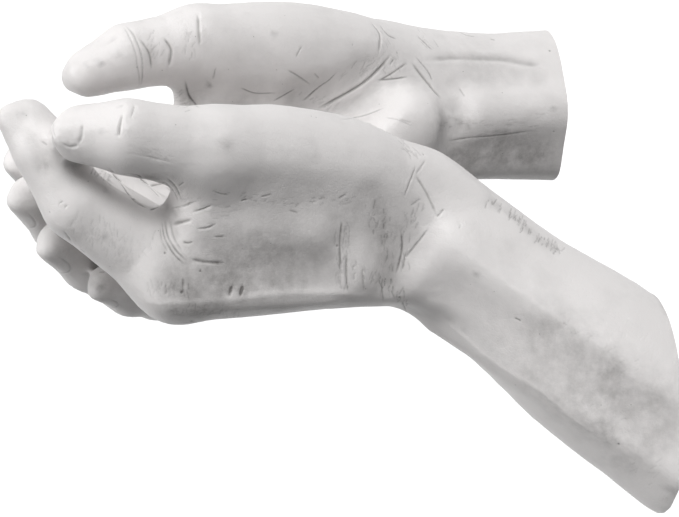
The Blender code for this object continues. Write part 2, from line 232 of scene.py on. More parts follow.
def put(nodeTree, kind, feeds, **settings):   # a feed is another node's output, or a value
    made = nodeTree.nodes.new(kind)
    for setting, value in settings.items():
        setattr(made, setting, value)
    for key, feed in feeds.items():
        if isinstance(feed, bpy.types.NodeSocket):
            nodeTree.links.new(feed, made.inputs[key])
        else:
            made.inputs[key].default_value = feed
    return made.outputs


def calc(nodeTree, operation, *feeds, clamp=False):
    feeds = dict(enumerate(feeds))
    return put(nodeTree, "ShaderNodeMath", feeds, operation=operation, use_clamp=clamp)[0]


def scaledBy(nodeTree, vector, factor):
    return put(nodeTree, "ShaderNodeVectorMath", {0: vector, "Scale": factor}, operation="SCALE")[0]


def hump(nodeTree, reach, power):   # 1 on the line, falling away to 0 at about two widths from it
    raised = calc(nodeTree, "POWER", reach, power)
    return calc(nodeTree, "EXPONENT", calc(nodeTree, "MULTIPLY", raised, -1.0))


def newCarver(name, inputs):   # a tree that works on the skin, with inputs of its own
    inputs = [("Skin", "Geometry"), *inputs.items(), ("Finish", "Material")]
    return newTree(name, "GeometryNodeTree", inputs, [("Skin", "Geometry")])


def read(nodeTree, name):
    return put(nodeTree, "GeometryNodeInputNamedAttribute", {"Name": name}, data_type="FLOAT")[0]


def store(nodeTree, geometry, name, value):
    feeds = {"Geometry": geometry, "Name": name, "Value": value}
    return put(nodeTree, "GeometryNodeStoreNamedAttribute", feeds, data_type="FLOAT", domain="POINT")[0]


def atNearest(nodeTree, geometry, value):   # the value at the geometry's nearest point
    nearest = put(nodeTree, "GeometryNodeSampleNearest", {"Geometry": geometry}, domain="POINT")[0]
    feeds = {"Geometry": geometry, "Value": value, "Index": nearest}
    return put(nodeTree, "GeometryNodeSampleIndex", feeds, data_type="FLOAT", domain="POINT")[0]


def endCarver(nodeTree, geometry, start, end):
    real = put(nodeTree, "GeometryNodeRealizeInstances", {"Geometry": geometry})[0]
    finished = put(nodeTree, "GeometryNodeSetMaterial", {"Geometry": real, "Material": start["Finish"]})[0]
    nodeTree.links.new(finished, end[0])


def pushSkin(nodeTree, push, wash, start, end):   # moves the skin along its normal, and adds to its wash; a negative amount paints a highlight
    normal = put(nodeTree, "GeometryNodeInputNormal", {})[0]
    offset = scaledBy(nodeTree, normal, push)
    total = calc(nodeTree, "ADD", read(nodeTree, "wash"), wash)
    stored = store(nodeTree, start["Skin"], "wash", total)
    moved = put(nodeTree, "GeometryNodeSetPosition", {"Geometry": stored, "Offset": offset})[0]
    endCarver(nodeTree, moved, start, end)


def lineCarver():   # follows lines over the skin, and presses a groove or raises a ridge along them
    made, start, end = newCarver("lineCarver", {
        "Lines": "Object", "Width": "Float", "Depth": "Float", "Lip": "Float", "Wash": "Float",
    })
    lines = put(made, "GeometryNodeObjectInfo", {"Object": start["Lines"]})["Geometry"]
    distance = put(made, "GeometryNodeProximity", {0: lines}, target_element="EDGES")["Distance"]
    strength = atNearest(made, lines, read(made, "strength"))
    reach = calc(made, "DIVIDE", distance, start["Width"])
    core = hump(made, reach, 2.0)
    lip = hump(made, calc(made, "ABSOLUTE", calc(made, "SUBTRACT", reach, 2.0)), 2.0)   # two widths out
    raised = calc(made, "MULTIPLY", lip, start["Lip"])
    push = calc(made, "SUBTRACT", raised, calc(made, "MULTIPLY", core, start["Depth"]))
    push = calc(made, "MULTIPLY", push, strength)
    wash = calc(made, "MULTIPLY", calc(made, "MULTIPLY", core, start["Wash"]), strength)
    pushSkin(made, push, wash, start, end)
    return made


pits = {
    "perSquareMetre": 380.0, "radius": 0.55 * mm, "depth": 0.35 * mm, "wash": 0.4, "seed": 7,
    "sizes": {"Min": 0.35, "Max": 1.0},   # shares of the radius and depth
}


def pitCarver():   # small round casting pits, scattered over the skin
    made, start, end = newCarver("pitCarver", {
        "Density": "Float", "Radius": "Float", "Depth": "Float", "Wash": "Float", "Seed": "Int",
    })
    feeds = {"Mesh": start["Skin"], "Density": start["Density"], "Seed": start["Seed"]}
    scattered = put(made, "GeometryNodeDistributePointsOnFaces", feeds, distribute_method="RANDOM")[0]
    distance = put(made, "GeometryNodeProximity", {0: scattered}, target_element="POINTS")["Distance"]
    feeds = {**pits["sizes"], "Seed": start["Seed"]}
    drawn = put(made, "FunctionNodeRandomValue", feeds, data_type="FLOAT")
    size = atNearest(made, scattered, [s for s in drawn if s.enabled][0])
    reach = calc(made, "DIVIDE", distance, calc(made, "MULTIPLY", size, start["Radius"]))
    core = hump(made, reach, 3.0)
    push = calc(made, "MULTIPLY", calc(made, "MULTIPLY", core, size), start["Depth"])
    push = calc(made, "MULTIPLY", push, -1.0)
    wash = calc(made, "MULTIPLY", core, start["Wash"])
    pushSkin(made, push, wash, start, end)
    return made


def unevenSkin():   # the soft unevenness of a form that was cast from life
    made, start, end = newCarver("unevenSkin", {"Height": "Float", "Scale": "Float"})
    place = put(made, "GeometryNodeInputPosition", {})[0]
    feeds = {"Vector": place, "Scale": start["Scale"], "Detail": 3.0, "Roughness": 0.5}
    noise = put(made, "ShaderNodeTexNoise", feeds)[0]
    push = calc(made, "MULTIPLY", calc(made, "SUBTRACT", noise, 0.5), start["Height"])
    pushSkin(made, push, 0.0, start, end)
    return made


def hollowReader():   # takes the guide's hollows over to the skin
    made, start, end = newCarver("hollowReader", {"Guide": "Object"})
    shape = put(made, "GeometryNodeObjectInfo", {"Object": start["Guide"]})["Geometry"]
    feeds = {"Mesh": shape, "Value": read(made, "hollow")}
    found = put(made, "GeometryNodeSampleNearestSurface", feeds, data_type="FLOAT")[0]
    endCarver(made, store(made, start["Skin"], "hollow", found), start, end)
    return made


def treat(piece, tree, **values):   # runs a tree on a piece, its inputs set by their sockets' identifiers
    modifier = piece.modifiers.new(tree.name, "NODES")
    modifier.node_group = tree
    values["Finish"] = castFinish
    for item in tree.interface.items_tree:
        if item.in_out == "INPUT" and item.name in values:
            modifier[item.identifier] = values[item.name]
    bake(piece)


# Finishes: white cast with a grey wash rubbed into its recesses, painted shade in its hollows and on its
# lower sides, a painted highlight along its ridges, and the bare cut faces against the wall

castLook = {
    "white": (0.82, 0.797, 0.79, 1),
    # the grey of the wash, which the painted shade uses too
    "washAndShadeGrey": (0.190, 0.181, 0.176, 1),
    "roughness": 0.42,
    "washRoughness": 0.66,
    "washAndHighlightInLines": 1.0,
    "shadeAndWashInHollows": 0.25,
    "washInFolds": 0.4,
    "washInSpecks": 0.4,
    "mottle": (1.9, -0.30),   # a noise's strength and shift
    "cloud": (0.5, -0.26),
    "grainSize": 1.0,
    "bumpHeight": 0.17 * mm,
}
cutLook = {
    "colour": (0.70, 0.70, 0.69, 1),
    "shade": 0.75,            # how dark its darkest patches are
    "cloud": (0.8, -0.2),
    "roughness": 0.8,
    "grainSize": 1.6,
    "bumpHeight": 0.3 * mm,
}
grainLook = {
    "noises": {   # scale, detail, roughness
        "cloud": (55.0, 4.0, 0.55), "mottle": (210.0, 6.0, 0.7),
        "wavy": (420.0, 5.0, 0.6), "fine": (2600.0, 3.0, 0.6),
    },
    "wavyHeight": 0.75, "fineHeight": 0.25,
    "specks": {"scale": 300.0, "radius": 0.07, "bare": 0.90, "depth": 0.6},   # bare: cells without one
    "net": {"scale": 620.0, "width": 0.12, "depth": 0.2},   # the fine lines of skin
    "netBend": {"scale": 300.0, "reach": 0.0015},
}


def castGrain():   # the unevenness of a casting: soft cloudy patches, a fine skin grain and a few specks
    inputs = [("Vector", "Vector"), ("Size", "Float")]
    outputs = [("Height", "Float"), ("Cloud", "Float"), ("Mottle", "Float"), ("Speck", "Float")]
    made, start, end = newTree("castGrain", "ShaderNodeTree", inputs, outputs)
    scaled = scaledBy(made, start["Vector"], start["Size"])
    noises = {}
    for name, (scale, detail, roughness) in grainLook["noises"].items():
        feeds = {"Vector": scaled, "Scale": scale, "Detail": detail, "Roughness": roughness}
        noises[name] = put(made, "ShaderNodeTexNoise", feeds)[0]
    specks, net, bend = grainLook["specks"], grainLook["net"], grainLook["netBend"]
    feeds = {"Vector": scaled, "Scale": specks["scale"], "Randomness": 1.0}
    cells = put(made, "ShaderNodeTexVoronoi", feeds)
    dot = calc(made, "LESS_THAN", cells["Distance"], specks["radius"])
    drawn = put(made, "ShaderNodeSeparateColor", {0: cells["Color"]})[0]
    speck = calc(made, "MULTIPLY", dot, calc(made, "GREATER_THAN", drawn, specks["bare"]))
    bent = put(made, "ShaderNodeTexNoise", {"Vector": scaled, "Scale": bend["scale"]})["Color"]
    bent = scaledBy(made, bent, bend["reach"])
    bent = put(made, "ShaderNodeVectorMath", {0: scaled, 1: bent}, operation="ADD")[0]
    feeds = {"Vector": bent, "Scale": net["scale"]}
    edge = put(made, "ShaderNodeTexVoronoi", feeds, feature="DISTANCE_TO_EDGE")[0]
    netLine = calc(made, "SUBTRACT", 1.0, calc(made, "DIVIDE", edge, net["width"], clamp=True))
    wavy = calc(made, "MULTIPLY", noises["wavy"], grainLook["wavyHeight"])
    height = calc(made, "ADD", wavy, calc(made, "MULTIPLY", noises["fine"], grainLook["fineHeight"]))
    height = calc(made, "SUBTRACT", height, calc(made, "MULTIPLY", speck, specks["depth"]))
    height = calc(made, "SUBTRACT", height, calc(made, "MULTIPLY", netLine, net["depth"]))
    results = {"Height": height, "Cloud": noises["cloud"], "Mottle": noises["mottle"], "Speck": speck}
    for label, value in results.items():
        made.links.new(value, end[label])
    return made


grainGroup = castGrain()


def newFinish(name):
    made = bpy.data.materials.new(name)
    made.use_nodes = True
    made.node_tree.nodes.remove(made.node_tree.nodes["Principled BSDF"])
    return made, made.node_tree, made.node_tree.nodes["Material Output"].inputs["Surface"]


def grainOn(nodes, size):
    place = put(nodes, "ShaderNodeTexCoord", {})["Object"]
    group = nodes.nodes.new("ShaderNodeGroup")
    group.node_tree = grainGroup
    group.inputs["Size"].default_value = size
    nodes.links.new(place, group.inputs["Vector"])
    return group.outputs


def share(nodes, name, strength):   # of one of the skin's attributes
    found = put(nodes, "ShaderNodeAttribute", {}, attribute_name=name)["Fac"]
    return calc(nodes, "MULTIPLY", found, strength)


def coverWith(nodes, surface, colour, roughness, height, bumpHeight):
    bump = put(nodes, "ShaderNodeBump", {"Strength": 1.0, "Distance": bumpHeight, "Height": height})[0]
    feeds = {"Base Color": colour, "Roughness": roughness, "Normal": bump}
    nodes.links.new(put(nodes, "ShaderNodeBsdfPrincipled", feeds)[0], surface)


def makeCastFinish():
    made, nodes, surface = newFinish("whiteCast")
    grain = grainOn(nodes, castLook["grainSize"])
    # wash in the carved lines and pits, less the painted highlight along the raised lines
    lines = share(nodes, "wash", castLook["washAndHighlightInLines"])
    # painted shade where the guide's rays are hidden, together with the wash in the hollows
    hollow = share(nodes, "hollow", castLook["shadeAndWashInHollows"])
    fold = share(nodes, "fold", castLook["washInFolds"])
    mottle = calc(nodes, "MULTIPLY_ADD", grain["Mottle"], *castLook["mottle"], clamp=True)
    # stains, and broad patches of painted shade on the lower sides and in the gap between the hands,
    # mottled by noise
    stainAndShade = share(nodes, "stainAndShade", mottle)
    cloud = calc(nodes, "MULTIPLY_ADD", grain["Cloud"], *castLook["cloud"])
    mask = calc(nodes, "ADD", calc(nodes, "ADD", lines, hollow), calc(nodes, "ADD", fold, stainAndShade))
    mask = calc(nodes, "ADD", mask, cloud)
    mask = calc(nodes, "MULTIPLY_ADD", grain["Speck"], castLook["washInSpecks"], mask, clamp=True)
    colours = {0: mask, 6: castLook["white"], 7: castLook["washAndShadeGrey"]}
    colour = put(nodes, "ShaderNodeMix", colours, data_type="RGBA")[2]
    roughnesses = {0: mask, 2: castLook["roughness"], 3: castLook["washRoughness"]}
    rough = put(nodes, "ShaderNodeMix", roughnesses)[0]
    coverWith(nodes, surface, colour, rough, grain["Height"], castLook["bumpHeight"])
    return made


def makeCutFinish():
    made, nodes, surface = newFinish("cutCast")
    grain = grainOn(nodes, cutLook["grainSize"])
    cloud = calc(nodes, "MULTIPLY_ADD", grain["Cloud"], *cutLook["cloud"], clamp=True)
    dark = tuple(cutLook["shade"] * c for c in cutLook["colour"][:3]) + (1,)
    colour = put(nodes, "ShaderNodeMix", {0: cloud, 6: cutLook["colour"], 7: dark}, data_type="RGBA")[2]
    coverWith(nodes, surface, colour, cutLook["roughness"], grain["Height"], cutLook["bumpHeight"])
    return made


castFinish = makeCastFinish()
cutFinish = makeCutFinish()
print("finishes made")


# How deep each place of the guide lies between the fingers: the share of its rays that meet another form,
# which the finish turns into painted shade between and under the hands, together with the wash in the
# hollows

hollowLook = {"rays": 40, "reach": 90 * mm, "lift": 0.5 * mm, "leastFacing": 0.05}


def markHollows(piece):
    mesh = piece.data
    turnStep = math.pi * (3 - math.sqrt(5))
    around = []
    for k in range(hollowLook["rays"]):
        z = 1 - (2 * k + 1) / hollowLook["rays"]
        r = math.sqrt(1 - z * z)
        around.append(Vector((r * math.cos(k * turnStep), r * math.sin(k * turnStep), z)))
    shares = []
    for vertex in mesh.vertices:
        start = vertex.co + vertex.normal * hollowLook["lift"]
        total = hidden = 0
        for way in around:
            facing = way.dot(vertex.normal)
            if facing > hollowLook["leastFacing"]:
                total += facing
                if tree.ray_cast(start, way, hollowLook["reach"])[0] is not None:
                    hidden += facing
        shares.append(hidden / total)
    storeOnPoints(mesh, "hollow", shares)


markHollows(guide)
treat(hands, hollowReader(), Guide=guide)
print("hollows marked")


# The bones, in mm from each wrist: knuckle, middle joint, end joint and tip of each finger, and their radii

bones = {
    "left": {
        "wrist": (-26, -96, 65),
        "thumbBack": (1, 0, 0.1),
        "drawn": (0, 4),   # fingers whose backs are drawn from the photograph instead
        "fingers": [
            ([(23, -75, -16), (27, -110, 9), (24, -121, 28), (21, -126, 36)], [15.3, 11.8, 10.6, 9.3]),
            ([(1, -69, -15), (-2, -103, 8), (-11, -112, 20), (-19, -108, 26)], [13.5, 11.5, 9.8, 8.6]),
            ([(-19, -65, -14), (-24, -96, 10), (-34, -105, 21), (-41, -101, 29)], [13.0, 11.2, 9.6, 8.2]),
            ([(-36, -60, -11), (-44, -84, 8), (-52, -92, 18), (-58, -88, 24)], [12.0, 10.2, 8.8, 7.4]),
        ],
        "thumb": ([(38, -64, 27), (44, -95, 33), (41, -110, 34)], [14.5, 12.6, 10.0]),
    },
    "right": {
        "wrist": (-124, -72, 102),
        "thumbBack": (-1, 0, 0),
        "drawn": (),
        "fingers": [
            ([(11, -73, -18), (30, -113, -36), (48, -133, -29), (64, -145, -17)], [13.0, 11.6, 9.8, 8.0]),
            ([(20, -74, -32), (42, -115, -52), (62, -133, -41), (78, -145, -29)], [13.0, 12.0, 10.2, 8.2]),
            ([(34, -74, -45), (62, -108, -62), (80, -125, -53), (93, -137, -44)], [12.5, 11.7, 9.9, 8.0]),
            ([(52, -73, -56), (74, -99, -64), (88, -111, -62), (99, -121, -58)], [12.2, 10.8, 9.0, 6.8]),
        ],
        "thumb": ([(26, -77, 23), (32, -104, 19), (36, -119, 13)], [14.0, 12.2, 9.2]),
    },
}
wrinkleLook = {   # arcs and creases: mm along the bone, degrees to each side, strength
    "arcs": [
        (-3.6, 24, 0.35), (-2.0, 36, 0.5), (-0.7, 44, 0.65),
        (0.8, 42, 0.65), (2.2, 32, 0.5), (3.9, 22, 0.3),
    ],
    "creases": [(-0.9, 74, 0.8), (1.1, 66, 0.6)],
    "bow": 0.55,              # how much an arc's ends come together
    "unevenness": 0.35,       # mm; an arc strays by half of this
    "wave": 0.12,             # mm along an arc
    "lengths": (0.8, 1.15),   # shares of its degrees
    "turned": 5,              # degrees round the finger
    "strengths": (0.6, 1.0),
    "arcPoints": 9,
    "finePoints": 4,          # between two of those
    "thumbScale": 1.25,
    "endScale": 0.7,          # at the last joint of a finger
    "seed": 21,
}
nailLook = {
    "fold": [   # round the nail: radii of the tip along it, degrees to the side
        (0.45, -42), (0.0, -45), (-0.5, -43), (-0.85, -30), (-1.02, 0),
        (-0.85, 30), (-0.5, 43), (0.0, 45), (0.45, 42),
    ],
    "points": 4,
    "rayReach": 1.3,
}
draw = np.random.default_rng(wrinkleLook["seed"])


def bentPalms(joints):   # for each bone of a finger, the way that its palm side faces
    parts = [unit(b - a) for a, b in zip(joints, joints[1:])]
    hinge = unit(np.cross(parts[0], parts[1]) + np.cross(parts[1], parts[2]))
    return [np.cross(hinge, part) for part in parts]


def jointArcs(origin, along, facing, radius, table, scale):   # wrinkles across one side of a joint
    made = []
    for step, half, strength in table:
        bow, shift = wrinkleLook["bow"], draw.normal(0, wrinkleLook["unevenness"])
        half = half * draw.uniform(*wrinkleLook["lengths"])
        middle = draw.normal(0, wrinkleLook["turned"])
        places = []
        for k in range(wrinkleLook["arcPoints"]):
            t = 2 * k / (wrinkleLook["arcPoints"] - 1) - 1
            wave = draw.normal(0, wrinkleLook["wave"])
            across = scale * (step * (1 - bow * t * t) + shift * 0.5) + wave
            places.append((across * mm, middle + half * t))
        line = laidAround(origin, along, facing, radius, places)
        if len(line) > 2:
            strength *= draw.uniform(*wrinkleLook["strengths"])
            made.append((strength, [Vector(p) for p in smoothLine(line, wrinkleLook["finePoints"])]))
    return made


def boneLines():   # knuckle wrinkles, finger creases and nail folds for all ten fingers
    wrinkles, creases, nails = [], [], []
    for hand in bones.values():
        wrist = np.array(hand["wrist"], float)
        for number, (joints, radii) in enumerate(hand["fingers"] + [hand["thumb"]]):
            isThumb, isDrawn = number == len(hand["fingers"]), number in hand["drawn"]
            places = [(wrist + joint) * mm for joint in joints]
            radii = [r * mm for r in radii]
            if isThumb:
                palms = [-unit(np.array(hand["thumbBack"], float))] * (len(places) - 1)
            else:
                palms = bentPalms(places)
            for k in range(1, len(places) - 1):
                along = unit(places[k + 1] - places[k - 1])
                palm = unit(palms[k] - palms[k].dot(along) * along)
                scale = wrinkleLook["thumbScale"] if isThumb else 1.0 if k == 1 else wrinkleLook["endScale"]
                arcs = jointArcs(places[k], along, -palm, radii[k], wrinkleLook["arcs"], scale)
                if not isDrawn:
                    wrinkles += arcs
                creases += jointArcs(places[k], along, palm, radii[k], wrinkleLook["creases"], scale)
            along = unit(places[-1] - places[-2])
            palm = unit(palms[-1] - palms[-1].dot(along) * along)
            fold = [(step * radii[-1], angle) for step, angle in nailLook["fold"]]
            line = laidAround(places[-1], along, -palm, radii[-1] * nailLook["rayReach"], fold)
            if len(line) > 3 and not isDrawn:
                nails.append((1.0, [Vector(p) for p in smoothLine(line, nailLook["points"])]))
    return wrinkles, creases, nails


wrinkles, fingerCreases, nailFolds = boneLines()


# Hatching: many short fine lines over a patch, in pixels of the photograph

hatches = [   # path, half width, how many, direction in degrees, length, strength
    ([(489, 202), (513, 216), (528, 231), (550, 245), (560, 251)], 4.0, 64, 62, 7, 1.0),   # scuffed forearm
    ([(84, 226), (112, 238), (144, 246)], 13.0, 70, 84, 11, 0.55),
    ([(178, 308), (236, 312)], 4.0, 44, 84, 6, 0.7),
    ([(178, 314), (236, 308)], 4.0, 14, 12, 14, 0.6),
    ([(150, 288), (184, 291)], 6.0, 26, 87, 10, 0.6),
    ([(94, 172), (109, 177)], 3.5, 14, 65, 7, 1.0),
    ([(403, 144), (417, 158)], 5.0, 20, 130, 9, 0.8),
    ([(341, 226), (344, 286)], 7.0, 30, 87, 16, 0.6),
    ([(360, 270), (402, 298)], 7.0, 46, 80, 8, 1.0),
    ([(376, 215), (398, 262)], 11.0, 40, 74, 9, 0.7),
    ([(405, 232), (418, 204)], 7.0, 20, 68, 10, 0.7),
    ([(418, 30), (432, 46)], 5.0, 14, -45, 10, 0.6),
    ([(384, 34), (392, 70)], 8.0, 24, -62, 9, 0.6),
    ([(300, 96), (335, 104)], 6.0, 16, 35, 12, 0.6),
    ([(345, 78), (375, 60)], 7.0, 18, 42, 13, 0.6),
    ([(176, 188), (186, 200)], 5.0, 14, 50, 7, 0.6),
    ([(190, 200), (232, 214)], 8.0, 18, 14, 11, 0.6),
    ([(214, 193), (290, 202), (352, 200)], 4.0, 44, 22, 6, 0.8),   # dents below the thumb's ball
    ([(145, 34), (165, 60)], 6.0, 14, 68, 10, 0.6),
    ([(185, 30), (192, 60)], 5.0, 14, 80, 10, 0.6),
    ([(137, 150), (172, 160)], 4.0, 20, -12, 14, 0.6),
    ([(560, 320), (640, 372)], 9.0, 14, 40, 8, 0.4),
    ([(600, 405), (650, 470)], 14.0, 16, 35, 9, 0.4),
    ([(448, 128), (545, 118)], 9.0, 24, 10, 10, 0.5),
    ([(170, 90), (190, 106)], 6.0, 16, 30, 9, 0.7),
]
hatchLook = {   # of one line to the next
    "turned": 14,             # degrees
    "lengths": (0.4, 1.2),
    "bend": 0.10,
    "strengths": (0.5, 1.0),
    "finePoints": 8,
}


def hatched(path, half, count, direction, length, strength):
    path = smoothLine(path, hatchLook["finePoints"])
    made = []
    for _ in range(count):
        x, y = path[draw.integers(len(path))]
        x, y = x + draw.uniform(-half, half), y + draw.uniform(-half, half)
        angle = math.radians(direction + draw.normal(0, hatchLook["turned"]))
        reach = 0.5 * length * draw.uniform(*hatchLook["lengths"])
        bend = draw.normal(0, hatchLook["bend"]) * reach
        dx, dy = reach * math.cos(angle), -reach * math.sin(angle)
        points = [(x - dx, y - dy), (x + bend, y + bend), (x + dx, y + dy)]
        made.append((strength * draw.uniform(*hatchLook["strengths"]), laidFromCamera(points)))
    return made


scratches = [line for patch in hatches for line in hatched(*patch)]


# The forms and lines of the skin: those drawn from the photograph are (strength, pixels)

carver = lineCarver()
forms = [
    {   # deep folds, where one form turns into another
        "name": "folds", "width": 0.55 * mm, "depth": 0.55 * mm, "lip": 0.12 * mm, "wash": 0.32,
        "lines": [
            (1.0, [(109, 168), (122, 184), (134, 200), (147, 208)]),   # between the fingers in the gap
            (1.0, [(117, 175), (137, 176), (149, 186), (160, 197)]),
            (0.8, [(150, 186), (158, 184), (166, 183)]),
            (0.5, [(163, 181), (172, 189), (178, 200)]),
            (0.7, [(232, 286), (229, 297)]),
            (0.7, [(243, 285), (240, 297)]),
            (0.7, [(140, 39), (149, 53), (152, 69)]),
            (0.8, [(164, 38), (171, 50), (169, 67)]),
            (0.8, [(391, 55), (377, 71), (362, 84), (340, 97), (319, 108)]),
            (0.7, [(371, 22), (380, 35), (379, 54)]),
            (0.7, [(123, 112), (120, 127), (119, 137)]),
            (0.6, [(198, 14), (199, 32), (200, 46)]),
            (0.6, [(185, 80), (189, 96), (199, 108)]),
            (0.7, [(412, 63), (428, 84), (440, 98)]),
            (0.6, [(416, 176), (427, 194), (437, 216)]),
            (0.5, [(82, 125), (82, 134), (79, 144)]),
            (0.5, [(62, 144), (71, 147), (79, 145)]),
            (0.7, [(173, 224), (183, 222), (192, 220)]),
            (0.6, [(191, 259), (206, 262), (224, 263)]),
        ],
    },
    {
        "name": "creases", "width": 0.32 * mm, "depth": 0.30 * mm, "lip": 0.06 * mm, "wash": 0.42,
        "lines": wrinkles + fingerCreases + [
            (0.9, [(193, 212), (203, 209), (212, 205)]),
            (0.9, [(197, 229), (207, 228), (216, 224)]),
            (0.7, [(214, 237), (219, 237), (224, 236)]),
            (0.8, [(183, 242), (188, 243), (193, 242)]),
            (0.7, [(241, 201), (247, 199)]),
            (0.8, [(260, 197), (272, 194)]),
            (0.7, [(338, 199), (346, 194)]),
            (0.6, [(289, 210), (298, 213)]),
            (0.7, [(213, 191), (221, 194), (229, 195)]),
            (0.7, [(179, 186), (184, 182)]),
            (0.7, [(162, 223), (165, 238), (174, 254), (184, 264)]),
            (0.5, [(160, 226), (162, 240), (168, 252)]),
            (0.6, [(165, 221), (168, 236), (176, 250), (186, 260)]),
            (0.4, [(170, 222), (174, 238), (182, 251)]),
            (0.6, [(172, 208), (184, 206), (196, 201)]),
            (0.8, [(342, 222), (340, 240), (340, 274)]),
            (0.8, [(347, 252), (346, 274), (348, 293)]),
            (0.7, [(362, 270), (364, 291)]),
            (0.8, [(382, 283), (383, 302)]),
            (0.9, [(401, 231), (402, 249), (396, 274)]),
            (0.7, [(406, 252), (402, 270)]),
            (0.6, [(391, 290), (395, 300)]),
            (0.6, [(401, 300), (406, 311)]),
            (0.8, [(416, 166), (409, 184), (404, 197)]),
            (0.6, [(426, 160), (416, 174)]),
            (0.8, [(437, 217), (444, 209)]),
            (0.6, [(421, 198), (410, 206)]),
            (0.7, [(428, 229), (405, 258)]),
            (0.5, [(461, 224), (459, 229)]),
            (0.6, [(166, 283), (166, 295)]),
            (0.6, [(183, 277), (183, 293)]),
            (0.8, [(135, 104), (131, 118)]),
            (0.5, [(124, 153), (148, 157), (174, 163)]),
            (0.6, [(53, 122), (53, 131), (56, 140)]),
            (0.6, [(41, 141), (47, 145)]),
            (0.7, [(59, 204), (63, 201)]),
            (0.7, [(64, 208), (68, 205)]),
            (0.8, [(64, 231), (68, 236), (71, 241)]),
            (0.8, [(80, 249), (85, 253)]),
            (0.9, [(150, 210), (156, 208), (163, 204)]),
            (0.8, [(99, 272), (105, 272)]),
            (0.7, [(167, 178), (176, 187), (181, 199)]),
            (0.8, [(515, 318), (521, 321)]),
            (0.6, [(563, 323), (567, 325)]),
            (0.7, [(216, 67), (213, 79)]),
            (0.7, [(302, 46), (296, 57)]),
            (0.7, [(241, 88), (255, 93), (276, 93)]),
            (0.8, [(287, 70), (298, 76), (310, 84)]),
            (0.7, [(314, 73), (319, 78)]),
            (0.8, [(337, 72), (329, 80), (319, 87), (302, 101)]),
            (0.7, [(394, 59), (390, 65)]),
            (0.9, [(407, 63), (394, 72), (377, 82)]),
            (0.9, [(377, 80), (392, 79), (407, 77)]),
            (0.7, [(273, 101), (284, 95), (294, 89)]),
            (0.9, [(379, 24), (388, 35), (396, 39)]),
            (0.8, [(417, 35), (425, 43), (432, 50)]),
            (0.8, [(416, 57), (428, 72), (432, 81)]),
            (0.9, [(457, 31), (466, 35), (475, 37)]),
            (0.7, [(490, 39), (495, 40)]),
            (0.5, [(459, 88), (465, 97)]),
            (0.7, [(384, 117), (399, 120), (412, 126)]),
            (0.6, [(399, 119), (413, 123)]),
            (0.6, [(449, 141), (468, 138), (501, 135), (531, 131)]),
            (0.6, [(340, 120), (362, 116), (384, 108)]),
        ],
    },
    {
        "name": "nailFolds", "width": 0.38 * mm, "depth": 0.28 * mm, "lip": 0.08 * mm, "wash": 0.16,
        "lines": nailFolds,
    },
    {
        "name": "scratches", "width": 0.24 * mm, "depth": 0.14 * mm, "lip": 0.0, "wash": 0.42,
        "lines": scratches,
    },
    {   # raised lines: tendons, edges of bones and casting seams; their negative wash paints a highlight along them
        "name": "raised", "width": 1.3 * mm, "depth": -0.35 * mm, "lip": 0.0, "wash": -0.12,
        "lines": [
            (0.8, [(142, 302), (174, 303), (237, 299), (264, 295), (302, 293), (350, 294), (379, 298)]),
            (0.6, [(437, 313), (461, 335), (498, 365), (538, 389), (573, 419), (602, 439)]),
            (0.9, [(422, 64), (443, 63), (457, 62), (501, 64), (529, 69), (543, 68)]),
            (0.5, [(452, 246), (490, 272), (530, 300), (585, 336), (640, 372)]),
            (0.5, [(128, 100), (126, 118), (126, 134)]),
            (0.5, [(157, 40), (161, 54), (160, 68)]),
        ],
    },
    {   # the flat, grey band beside the tendon
        "name": "band", "width": 2.4 * mm, "depth": 0.25 * mm, "lip": 0.0, "wash": 0.35,
        "lines": [(0.9, [(424, 60), (443, 59), (457, 58), (501, 59), (529, 64), (541, 64)])],
    },
]
bumps = [(0.9 * mm, 45.0), (0.12 * mm, 230.0)]   # height and fineness of the cast's unevenness
uneven = unevenSkin()
for height, fineness in bumps:
    treat(hands, uneven, Height=height, Scale=fineness)
for form in forms:
    laid = [(strength, points if isinstance(points[0], Vector) else laidFromCamera(points))
            for strength, points in form["lines"] if points]
    lines = linesObject(form["name"], laid)
    sizes = {size.capitalize(): form[size] for size in ("width", "depth", "lip", "wash")}
    treat(hands, carver, Lines=lines, **sizes)
    bpy.data.objects.remove(lines)
print("lines carved")

treat(hands, pitCarver(), Density=pits["perSquareMetre"], Radius=pits["radius"], Depth=pits["depth"],
      Wash=pits["wash"], Seed=pits["seed"])
print("pits carved")
